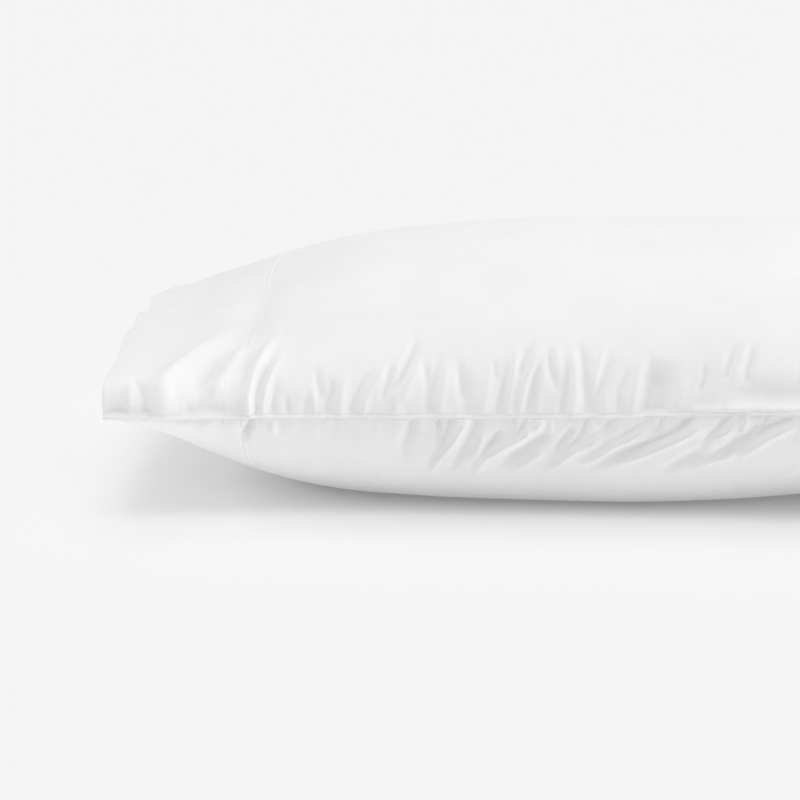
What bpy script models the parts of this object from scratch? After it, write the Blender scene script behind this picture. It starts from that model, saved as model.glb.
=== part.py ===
"""A plain white cotton pillowcase with its pillow inside, lying on its back.

The case is one piece of cloth: a bag of 20 by 30 inches, seamed along both long
sides and one end, with a deep doubled hem round its open end at -X.  The filled
part is one solid.  Past the pillow's end the hem stands out as a hollow cuff.
Metres, +Z up, the origin under the middle of the bounding box.
"""
import math

import bmesh
import bpy
import numpy as np

# ---- the cloth, as it is cut and sewn ----------------------------------------
CASE_LENGTH = 0.762          # flat, from the hem's edge to the end seam
CASE_WIDTH = 0.508           # flat, between the side seams
HEM_DEPTH = 0.102            # the doubled hem round the mouth
GIRTH = 2 * CASE_WIDTH       # once round the bag
HEM_WALL = 0.0024            # the cuff's wall, two layers and their air
SEAM_WALL = 0.0040           # the cuff's wall at the side seams

# ---- the pillow in it ---------------------------------------------------------
CREST = 0.372                # from the mouth to the thickest section
ARCH_TAKES = 0.040           # how much of the case's length goes into its arch
FILLED_LENGTH = CASE_LENGTH - ARCH_TAKES    # from the mouth to the end seam's middle
FLOOR_DEPTH = 0.083          # from the seams' level down to the floor
FLOOR_BLEND = 0.008          # height over which the underside turns flat
PILLOW_END = 0.75 * HEM_DEPTH               # the pillow meets the cuff this far in
PILLOW_BULGE = 0.020         # how far its end swells towards the mouth
PILLOW_INSET = 0.030         # how much narrower the pillow's end seam is, a side
END_ROUNDING = 0.68          # power of the closed end's curve: 0.5 is an ellipse
EAR_LENGTHENING = 0.012      # the closed end's corners stand this much further out
EAR_LENGTH = 0.150           # stretch over which they draw out
EAR_SHARPNESS = 3            # a higher power keeps the ears nearer the corners
EAR_DROP = 0.006             # the corners hang this much below the side seams

# The bag's sections, from the mouth to the crest.  Rise and drop are the heights
# of the upper and under layers from the level of the side seams.  Fullness is the
# power of each layer's arch: 1 is an ellipse, less is boxier, more is leaner.
SECTIONS = np.array([
    # along,  rise,   drop,  upper fullness, under fullness
    (0.000, 0.0250, 0.0210, 0.62, 1.40),
    (0.037, 0.0370, 0.0415, 0.74, 1.30),
    (0.072, 0.0530, 0.0615, 0.84, 1.20),
    (0.110, 0.0690, 0.0785, 0.92, 1.12),
    (0.162, 0.0860, 0.0920, 0.98, 1.07),
    (0.232, 0.0970, 0.1015, 1.02, 1.05),
    (0.312, 0.1035, 0.1070, 1.05, 1.05),
    (0.372, 0.1030, 0.1100, 1.05, 1.05),
])
END_FULLNESS = 1.30          # both layers, at the closed end

# Level of the side seams along the bag.
SEAM_LEVELS = np.array([
    # along,  height
    (0.000, 0.0000),
    (0.170, -0.0025),
    (0.372, -0.0010),
    (0.500, 0.0050),
    (0.620, 0.0060),
    (0.724, 0.0040),
])

# The layers' edges at the mouth, where the hem stands in soft waves.
MOUTH_WAVES = np.array([
    # share of the way over, upper lift, upper forward, under lift
    (0.00, 0.0000, 0.0000, 0.0000),
    (0.05, 0.0040, 0.0010, 0.0000),
    (0.09, 0.0090, 0.0010, 0.0010),
    (0.14, 0.0100, 0.0010, 0.0010),
    (0.20, 0.0060, 0.0010, 0.0020),
    (0.28, 0.0024, 0.0003, 0.0010),
    (0.37, 0.0050, 0.0013, -0.0020),
    (0.44, 0.0032, 0.0000, -0.0030),
    (0.50, 0.0041, 0.0009, -0.0010),
    (0.56, -0.0044, -0.0020, 0.0010),
    (0.62, -0.0003, 0.0010, 0.0030),
    (0.69, -0.0056, -0.0012, 0.0020),
    (0.76, -0.0093, -0.0010, 0.0000),
    (0.83, -0.0115, -0.0008, -0.0020),
    (0.90, -0.0095, 0.0000, -0.0010),
    (1.00, 0.0000, 0.0000, 0.0000),
])
WAVE_REACH = 0.6 * HEM_DEPTH                # the waves die out over this much of it

# The main folds, each along a slightly bowed line on the flat cloth.  Along is from
# the mouth, across is from the near side seam; a negative height is a trough.
OVER, UNDER = True, False
FOLDS = (
    # layer, from along, across, to along, across, bow, width, height
    # on the cuff, near side: a broad soft ridge and the trough behind it
    (OVER, 0.044, 0.006, 0.094, 0.094, 0.004, 0.0110, 0.0050),
    (OVER, 0.066, 0.008, 0.096, 0.066, 0.003, 0.0070, -0.0045),
    (OVER, 0.034, 0.002, 0.028, 0.034, 0.000, 0.0080, -0.0035),
    (OVER, 0.020, 0.002, 0.020, 0.030, 0.000, 0.0075, 0.0025),
    # on the cuff, far side
    (OVER, 0.030, 0.500, 0.085, 0.415, -0.004, 0.0100, 0.0045),
    (OVER, 0.060, 0.502, 0.100, 0.440, -0.003, 0.0075, -0.0040),
    (OVER, 0.012, 0.330, 0.085, 0.318, 0.003, 0.0100, 0.0030),
    (OVER, 0.010, 0.222, 0.080, 0.232, 0.002, 0.0120, 0.0030),
    # where the fill starts, just past the hem
    (OVER, 0.1045, 0.004, 0.132, 0.092, -0.005, 0.0075, 0.0045),
    (OVER, 0.1130, 0.004, 0.126, 0.062, -0.003, 0.0075, -0.0040),
    (OVER, 0.1200, 0.002, 0.132, 0.056, -0.002, 0.0070, 0.0030),
    (OVER, 0.1060, 0.504, 0.135, 0.425, 0.004, 0.0075, 0.0045),
    (OVER, 0.1160, 0.504, 0.140, 0.440, 0.003, 0.0075, -0.0040),
    # over the near side seam
    (OVER, 0.162, 0.002, 0.152, 0.040, 0.000, 0.0080, -0.0025),
    (OVER, 0.172, 0.002, 0.178, 0.040, 0.000, 0.0080, 0.0025),
    (OVER, 0.203, 0.002, 0.224, 0.072, 0.002, 0.0080, -0.0035),
    (OVER, 0.213, 0.002, 0.238, 0.060, 0.002, 0.0070, 0.0030),
    (OVER, 0.236, 0.002, 0.240, 0.052, 0.000, 0.0070, -0.0030),
    (OVER, 0.300, 0.002, 0.317, 0.060, 0.001, 0.0080, 0.0030),
    (OVER, 0.308, 0.002, 0.324, 0.060, 0.001, 0.0080, -0.0030),
    (OVER, 0.340, 0.002, 0.338, 0.062, 0.000, 0.0070, 0.0035),
    (OVER, 0.352, 0.002, 0.342, 0.062, 0.000, 0.0080, -0.0035),
    (OVER, 0.384, 0.002, 0.394, 0.056, 0.000, 0.0070, 0.0040),
    (OVER, 0.400, 0.002, 0.402, 0.054, 0.000, 0.0090, -0.0040),
    (OVER, 0.425, 0.007, 0.545, 0.009, 0.000, 0.0080, 0.0030),
    (OVER, 0.440, 0.024, 0.540, 0.026, 0.000, 0.0080, -0.0025),
    # over the far side seam
    (OVER, 0.170, 0.506, 0.186, 0.455, 0.000, 0.0070, -0.0030),
    (OVER, 0.215, 0.506, 0.205, 0.450, 0.000, 0.0070, 0.0030),
    (OVER, 0.262, 0.506, 0.285, 0.448, 0.000, 0.0075, -0.0035),
    (OVER, 0.322, 0.506, 0.330, 0.452, 0.000, 0.0070, 0.0030),
    (OVER, 0.375, 0.506, 0.362, 0.445, 0.000, 0.0080, -0.0040),
    (OVER, 0.430, 0.506, 0.452, 0.450, 0.000, 0.0070, 0.0030),
    (OVER, 0.492, 0.506, 0.486, 0.458, 0.000, 0.0070, -0.0030),
    # under the near side seam: long slanting folds towards the mouth
    (UNDER, 0.222, 0.004, 0.214, 0.046, 0.000, 0.0080, -0.0025),
    (UNDER, 0.266, 0.002, 0.243, 0.064, 0.000, 0.0080, 0.0030),
    (UNDER, 0.274, 0.004, 0.254, 0.060, 0.000, 0.0080, -0.0025),
    (UNDER, 0.324, 0.002, 0.272, 0.062, 0.002, 0.0080, 0.0030),
    (UNDER, 0.330, 0.006, 0.290, 0.062, 0.002, 0.0070, -0.0030),
    (UNDER, 0.370, 0.008, 0.315, 0.066, 0.003, 0.0070, 0.0030),
    (UNDER, 0.432, 0.004, 0.338, 0.070, 0.003, 0.0070, -0.0055),
    (UNDER, 0.446, 0.008, 0.358, 0.070, 0.003, 0.0080, 0.0035),
    (UNDER, 0.508, 0.002, 0.438, 0.044, 0.004, 0.0080, -0.0060),
    (UNDER, 0.522, 0.006, 0.410, 0.070, 0.004, 0.0085, 0.0035),
    # under the far side seam
    (UNDER, 0.200, 0.504, 0.190, 0.450, 0.000, 0.0070, 0.0030),
    (UNDER, 0.262, 0.504, 0.232, 0.440, 0.000, 0.0070, -0.0035),
    (UNDER, 0.330, 0.504, 0.290, 0.436, 0.000, 0.0075, 0.0035),
    (UNDER, 0.400, 0.504, 0.352, 0.438, 0.000, 0.0075, -0.0040),
    (UNDER, 0.468, 0.504, 0.424, 0.444, 0.000, 0.0070, 0.0030),
    # from the end seam and its corners
    (OVER, 0.716, 0.040, 0.610, 0.110, 0.006, 0.0110, 0.0050),
    (OVER, 0.718, 0.085, 0.640, 0.130, 0.004, 0.0090, -0.0040),
    (OVER, 0.718, 0.172, 0.650, 0.180, 0.002, 0.0090, 0.0030),
    (OVER, 0.718, 0.265, 0.655, 0.258, 0.000, 0.0100, -0.0035),
    (OVER, 0.718, 0.345, 0.648, 0.330, 0.002, 0.0090, 0.0035),
    (OVER, 0.718, 0.420, 0.636, 0.372, -0.004, 0.0090, -0.0040),
    (OVER, 0.716, 0.470, 0.605, 0.402, -0.006, 0.0110, 0.0050),
    (UNDER, 0.716, 0.044, 0.615, 0.120, 0.006, 0.0100, 0.0045),
    (UNDER, 0.718, 0.150, 0.655, 0.165, 0.000, 0.0090, -0.0035),
    (UNDER, 0.718, 0.300, 0.652, 0.290, 0.000, 0.0100, 0.0030),
    (UNDER, 0.716, 0.462, 0.612, 0.385, -0.006, 0.0100, 0.0045),
)
FOLD_START = 0.18            # share of a fold's length in which it rises
FOLD_FADE = 0.60             # share in which it dies out
SEAM_CALM = 0.008            # the folds leave the side seams straight
END_CALM = 0.012             # and the end seam

# ---- the mesh -----------------------------------------------------------------
PANEL_COLUMNS = 28           # steps across each layer, seam to seam
COLUMN_CROWDING = 0.40       # how much closer they are at the seams: 0 is even
CUFF_ROWS = (0.000, 0.008, 0.022, 0.040, 0.058, PILLOW_END)
PILLOW_END_STEPS = 5
OUTER_STRETCHES = (          # steps along the bag, from the mouth
    # from,  to,    steps
    (0.000, 0.140, 20),
    (0.140, 0.540, 57),
)
END_STEPS = 12               # from there to the end seam, closer and closer
ARCH_SAMPLES = 49            # points at which a section's girth is measured
HALVINGS = 30                # of the range in which the half width is sought
LEAST_HALF_WIDTH = 0.1
WELD = 0.00002               # points nearer than this are one point


def smooth(at, table, column):
    """A smooth curve through one column of a table whose first column is the place."""
    places, values = table[:, 0], table[:, column]
    slopes = np.gradient(values, places)
    at = np.clip(at, places[0], places[-1])
    left = np.clip(np.searchsorted(places, at) - 1, 0, len(places) - 2)
    span = places[left + 1] - places[left]
    t = (at - places[left]) / span
    return ((2 * t**3 - 3 * t**2 + 1) * values[left]
            + (t**3 - 2 * t**2 + t) * span * slopes[left]
            + (3 * t**2 - 2 * t**3) * values[left + 1]
            + (t**3 - t**2) * span * slopes[left + 1])


def closing(along):
    """1 up to the crest, then falling to 0 at the end seam, as a filled end rounds."""
    t = np.clip((along - CREST) / (FILLED_LENGTH - CREST), 0.0, 1.0)
    return (1.0 - t**2) ** END_ROUNDING


def layer_shape(along):
    """Rise, drop and the two fullnesses of the bag's sections."""
    rise = smooth(along, SECTIONS, 1) * closing(along)
    drop = smooth(along, SECTIONS, 2) * closing(along)
    past_crest = np.clip((along - CREST) / (FILLED_LENGTH - CREST), 0.0, 1.0) ** 2
    upper = smooth(along, SECTIONS, 3)
    under = smooth(along, SECTIONS, 4)
    upper = upper + (END_FULLNESS - upper) * past_crest
    under = under + (END_FULLNESS - under) * past_crest
    return rise, drop, upper, under


def arch(share, height, fullness):
    """Height of a layer at a share of its way from seam to seam."""
    return height * np.maximum(np.sin(share * math.pi), 0.0) ** fullness


def on_floor(z):
    """Heights kept above the floor, with a soft turn where the cloth meets it."""
    above = z + FLOOR_DEPTH
    turning = (above + FLOOR_BLEND) ** 2 / (4 * FLOOR_BLEND)
    clear = np.where(above < -FLOOR_BLEND, 0.0, np.where(above < FLOOR_BLEND, turning, above))
    return clear - FLOOR_DEPTH


def half_widths(along):
    """Half the bag's width at each place: the rest of the cloth's girth is in its arch."""
    rise, drop, upper, under = (column[:, None] for column in layer_shape(along))
    share = np.linspace(0.0, 1.0, ARCH_SAMPLES)[None, :]
    up = arch(share, rise, upper)
    down = on_floor(-arch(share, drop, under))
    narrow = np.full(len(along), LEAST_HALF_WIDTH)
    wide = np.full(len(along), CASE_WIDTH / 2)
    for _ in range(HALVINGS):
        half = (narrow + wide) / 2
        across = -half[:, None] * np.cos(share * math.pi)
        length = (np.hypot(np.diff(across), np.diff(up)).sum(axis=1)
                  + np.hypot(np.diff(across), np.diff(down)).sum(axis=1))
        wide = np.where(length > GIRTH, half, wide)
        narrow = np.where(length > GIRTH, narrow, half)
    return half


def distance_across(y, z):
    """How far each point lies from the near seam, along its layer of the cloth."""
    ring_y, ring_z = (np.concatenate([part, part[:, :1]], axis=1) for part in (y, z))
    steps = np.hypot(np.diff(ring_y), np.diff(ring_z))
    over = np.cumsum(steps[:, :PANEL_COLUMNS], axis=1)
    under = np.cumsum(steps[:, :PANEL_COLUMNS - 1:-1], axis=1)
    over = over / over[:, -1:] * CASE_WIDTH
    under = under / under[:, -1:] * CASE_WIDTH
    return np.concatenate([np.zeros_like(over[:, :1]), over, under[:, -2::-1]], axis=1)


def bag_skin(along):
    """The outer skin as rows of points, and each point's place on the flat cloth.

    A row goes round the bag: over it from the near seam (-Y) to the far one,
    then back under it.
    """
    steps = np.arange(2 * PANEL_COLUMNS)[None, :]
    is_upper = steps <= PANEL_COLUMNS
    even = np.where(is_upper, steps / PANEL_COLUMNS, 2 - steps / PANEL_COLUMNS)
    crowded = (1 - np.cos(even * math.pi)) / 2
    share = even + COLUMN_CROWDING * (crowded - even)
    place = along[:, None]
    rise, drop, upper, under = (column[:, None] for column in layer_shape(along))
    half = half_widths(along)[:, None]
    y = -half * np.cos(share * math.pi)
    z = np.where(is_upper, arch(share, rise, upper), -arch(share, drop, under))
    cloth_across = distance_across(y, z)

    fading = np.exp(-((place / WAVE_REACH) ** 2))
    upper_lift, forward, under_lift = (
        smooth(share, MOUTH_WAVES, column) * fading for column in (1, 2, 3))
    z = z + np.where(is_upper, upper_lift, under_lift)
    near_end = np.clip((place - FILLED_LENGTH + EAR_LENGTH) / EAR_LENGTH, 0.0, 1.0) ** 2
    corner = np.abs(y / half) ** EAR_SHARPNESS * near_end
    x = place - forward + EAR_LENGTHENING * corner
    z = z + smooth(place, SEAM_LEVELS, 1) - EAR_DROP * corner
    points = np.stack(np.broadcast_arrays(x, y, z), axis=-1)
    return points, np.broadcast_to(place, z.shape), cloth_across, is_upper


def outward(points):
    """Unit normals of a skin whose rows close on themselves."""
    along_rows = np.gradient(points, axis=0)
    round_rows = np.roll(points, -1, axis=1) - np.roll(points, 1, axis=1)
    normals = np.cross(along_rows, round_rows)
    return normals / (np.linalg.norm(normals, axis=-1, keepdims=True) + 1e-12)


def fold_heights(place, across, is_upper):
    """How far the folds lift the cloth off the bag's smooth skin."""
    total = np.zeros(place.shape)
    for layer, start_x, start_y, end_x, end_y, bow, width, height in FOLDS:
        run_x, run_y = end_x - start_x, end_y - start_y
        length = math.hypot(run_x, run_y)
        t = ((place - start_x) * run_x + (across - start_y) * run_y) / length**2
        off = ((across - start_y) * run_x - (place - start_x) * run_y) / length
        off = off - bow * 4 * t * (1 - t)
        ends = eased(t / FOLD_START) * eased((1 - t) / FOLD_FADE)
        lifted = height * np.exp(-((off / width) ** 2)) * ends
        total = total + np.where(is_upper == layer, lifted, 0.0)
    to_seam = np.minimum(across, CASE_WIDTH - across)
    return total * eased(to_seam / SEAM_CALM) * eased((FILLED_LENGTH - place) / END_CALM)


def eased(t):
    """A soft step from 0 to 1."""
    t = np.clip(t, 0.0, 1.0)
    return t * t * (3 - 2 * t)


def outer_rows():
    """Places along the bag, from the mouth to the end seam."""
    rows = [np.zeros(1)]
    for start, stop, steps in OUTER_STRETCHES:
        rows.append(np.linspace(start, stop, steps + 1)[1:])
    turn = np.linspace(0.0, math.pi / 2, END_STEPS + 1)[1:]
    rows.append(stop + (FILLED_LENGTH - stop) * np.sin(turn))
    return np.concatenate(rows)


def folded_skin(along):
    """The bag's skin with its folds, pressed flat where it meets the floor."""
    points, place, across, is_upper = bag_skin(along)
    points = points + outward(points) * fold_heights(place, across, is_upper)[..., None]
    points[..., 2] = on_floor(points[..., 2])
    return points


def lining(rows_in):
    """The cuff's inner face: the skin drawn in by the thickness of the wall."""
    skin = folded_skin(rows_in)
    rise, drop, _, _ = layer_shape(rows_in)
    half = half_widths(rows_in)[:, None]
    level = smooth(rows_in, SEAM_LEVELS, 1)[:, None]
    upper_part = 1 - HEM_WALL / rise[:, None]
    under_part = 1 - HEM_WALL / drop[:, None]
    up = skin[..., 2] - level
    skin[..., 1] *= 1 - SEAM_WALL / half
    skin[..., 2] = level + up * np.where(up > 0, upper_part, under_part)
    return skin


def pillow_end(ring):
    """The pillow's rounded end, from the cuff's inner face to the pillow's own seam."""
    across_from = np.roll(ring[::-1], 1, axis=0)
    middle = (ring + across_from) / 2
    half = np.abs(ring[:, 1]).max()
    rows = []
    for turn in np.linspace(0.0, math.pi / 2, PILLOW_END_STEPS + 1)[1:]:
        row = middle + (ring - middle) * math.cos(turn)
        row[:, 0] -= PILLOW_BULGE * math.sin(turn)
        row[:, 1] *= 1 - PILLOW_INSET / half * (1 - math.cos(turn))
        rows.append(row)
    return np.array(rows)


def whole_surface():
    """Every row of the solid, from the end seam over the rim to the pillow's end."""
    skin = folded_skin(outer_rows())
    inner = lining(np.array(CUFF_ROWS))
    rim = (skin[0] + inner[0]) / 2
    rim[:, 0] -= HEM_WALL / 2
    rows = np.concatenate([skin[::-1], rim[None], inner, pillow_end(inner[-1])])
    rows[..., 2] += FLOOR_DEPTH
    return rows


def make_cotton():
    """White combed cotton, plain woven."""
    material = bpy.data.materials.new("white cotton")
    material.use_nodes = True
    shader = material.node_tree.nodes["Principled BSDF"]
    shader.inputs["Base Color"].default_value = (0.86, 0.86, 0.85, 1.0)
    shader.inputs["Roughness"].default_value = 0.85
    shader.inputs["Metallic"].default_value = 0.0
    return material


def make_pillowcase(collection):
    """The solid as one closed grid, a row of it for each ring round the bag."""
    rings = whole_surface()
    rings = np.concatenate([rings, rings[:, :1]], axis=1)
    low, high = rings.min(axis=(0, 1)), rings.max(axis=(0, 1))
    rings[..., :2] -= (low[:2] + high[:2]) / 2
    row_steps, column_steps = rings.shape[0] - 1, rings.shape[1] - 1

    cloth = bmesh.new()
    bmesh.ops.create_grid(cloth, x_segments=row_steps, y_segments=column_steps, size=0.5)
    for vertex in cloth.verts:
        row = round((vertex.co.x + 0.5) * row_steps)
        column = round((vertex.co.y + 0.5) * column_steps)
        vertex.co = rings[row, column]
    bmesh.ops.remove_doubles(cloth, verts=cloth.verts, dist=WELD)
    bmesh.ops.recalc_face_normals(cloth, faces=cloth.faces)

    mesh = bpy.data.meshes.new("pillowcase")
    cloth.to_mesh(mesh)
    cloth.free()
    mesh.shade_smooth()
    mesh.materials.append(make_cotton())
    collection.objects.link(bpy.data.objects.new("pillowcase", mesh))


for item in list(bpy.data.objects):
    bpy.data.objects.remove(item)
case_collection = bpy.data.collections.new("Pillowcase")
bpy.context.scene.collection.children.link(case_collection)
make_pillowcase(case_collection)
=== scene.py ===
import math

import bmesh
import bpy
import numpy as np
from mathutils import Matrix, Vector


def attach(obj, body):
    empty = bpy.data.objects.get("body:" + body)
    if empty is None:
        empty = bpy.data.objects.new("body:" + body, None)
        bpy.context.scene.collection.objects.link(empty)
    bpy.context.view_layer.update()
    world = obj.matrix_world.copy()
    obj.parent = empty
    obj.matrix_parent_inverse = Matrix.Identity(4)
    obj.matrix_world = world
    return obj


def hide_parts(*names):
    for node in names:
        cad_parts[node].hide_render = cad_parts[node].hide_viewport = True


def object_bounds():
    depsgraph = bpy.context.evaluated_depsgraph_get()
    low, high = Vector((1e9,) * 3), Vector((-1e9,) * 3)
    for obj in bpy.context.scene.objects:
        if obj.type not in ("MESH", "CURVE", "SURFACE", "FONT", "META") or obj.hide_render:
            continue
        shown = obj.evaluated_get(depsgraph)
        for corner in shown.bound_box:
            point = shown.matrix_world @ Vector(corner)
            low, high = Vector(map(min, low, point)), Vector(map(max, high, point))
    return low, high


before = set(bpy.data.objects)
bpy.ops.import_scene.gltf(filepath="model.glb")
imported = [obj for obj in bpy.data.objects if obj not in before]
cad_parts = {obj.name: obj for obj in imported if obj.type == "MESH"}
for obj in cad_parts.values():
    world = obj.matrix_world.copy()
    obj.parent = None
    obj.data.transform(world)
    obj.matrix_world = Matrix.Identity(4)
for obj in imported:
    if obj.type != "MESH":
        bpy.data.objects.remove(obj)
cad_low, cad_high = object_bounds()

MM = 0.001

# ---- the cloth, as it is cut and sewn ----------------------------------------
CASE_LENGTH = 0.762          # flat, from the hem's edge to the end seam
CASE_WIDTH = 0.508           # flat, between the side seams
HEM_DEPTH = 0.102            # the doubled hem round the mouth
GIRTH = 2 * CASE_WIDTH       # once round the bag
HEM_WALL = 0.0018            # the cuff's wall, two layers and their air
SEAM_WALL = 0.0030           # the cuff's wall at the side seams

# ---- the pillow in it ---------------------------------------------------------
CREST = 0.372                # from the mouth to the thickest section
ARCH_TAKES = 0.040           # how much of the case's length goes into its arch
FILLED_LENGTH = CASE_LENGTH - ARCH_TAKES    # from the mouth to the end seam's middle
FLOOR_DEPTH = 0.083          # from the seams' level down to the floor
FLOOR_BLEND = 0.008          # height over which the underside turns flat
PILLOW_END = 0.75 * HEM_DEPTH               # the pillow meets the cuff this far in
PILLOW_BULGE = 0.020         # how far its end swells towards the mouth
PILLOW_INSET = 0.030         # how much narrower the pillow's end seam is, a side
END_ROUNDING = 0.68          # power of the closed end's curve: 0.5 is an ellipse
EAR_LENGTHENING = 0.012      # the closed end's corners stand this much further out
EAR_LENGTH = 0.150           # stretch over which they draw out
EAR_SHARPNESS = 3            # a higher power keeps the ears nearer the corners
EAR_DROP = 0.006             # the corners hang this much below the side seams

# The bag's sections, from the mouth to the crest.  Rise and drop are the heights
# of the upper and under layers from the level of the side seams.  Fullness is the
# power of each layer's arch: 1 is an ellipse, less is boxier, more is leaner.
SECTIONS = np.array([
    # along,  rise,   drop,  upper fullness, under fullness
    (0.000, 0.0250, 0.0210, 0.62, 1.40),
    (0.037, 0.0370, 0.0415, 0.74, 1.30),
    (0.072, 0.0530, 0.0615, 0.84, 1.20),
    (0.110, 0.0690, 0.0785, 0.92, 1.12),
    (0.162, 0.0860, 0.0920, 0.98, 1.07),
    (0.232, 0.0970, 0.1015, 1.02, 1.05),
    (0.312, 0.1035, 0.1070, 1.05, 1.05),
    (0.372, 0.1030, 0.1100, 1.05, 1.05),
])
END_FULLNESS = 1.30          # both layers, at the closed end

# Level of the side seams along the bag.
SEAM_LEVELS = np.array([
    # along,  height
    (0.000, 0.0000),
    (0.170, -0.0025),
    (0.372, -0.0010),
    (0.500, 0.0050),
    (0.620, 0.0060),
    (0.724, 0.0040),
])

# The layers' edges at the mouth, where the hem stands in soft waves.
MOUTH_WAVES = np.array([
    # share of the way over, upper lift, upper forward, under lift
    (0.00, 0.0000, 0.0000, 0.000),
    (0.05, 0.0040, 0.0010, 0.000),
    (0.09, 0.0090, 0.0010, 0.001),
    (0.14, 0.0100, 0.0010, 0.001),
    (0.20, 0.0060, 0.0010, 0.002),
    (0.28, 0.0024, 0.0003, 0.001),
    (0.37, 0.0050, 0.0013, -0.002),
    (0.41, 0.0037, 0.0015, -0.003),
    (0.44, 0.0030, -0.0004, -0.003),
    (0.47, 0.0046, 0.0006, -0.002),
    (0.50, 0.0041, 0.0009, -0.001),
    (0.53, -0.0005, -0.0007, 0.000),
    (0.56, -0.0044, -0.0020, 0.001),
    (0.59, -0.0024, -0.0005, 0.002),
    (0.62, -0.0003, 0.0010, 0.003),
    (0.65, -0.0027, -0.0002, 0.003),
    (0.69, -0.0056, -0.0012, 0.002),
    (0.76, -0.0093, -0.0010, 0.000),
    (0.83, -0.0115, -0.0008, -0.002),
    (0.90, -0.0095, 0.0000, -0.001),
    (0.95, -0.0050, 0.0000, 0.000),
    (1.00, 0.0000, 0.0000, 0.000),
])
WAVE_REACH = 0.6 * HEM_DEPTH                # the waves die out over this much of it

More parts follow.
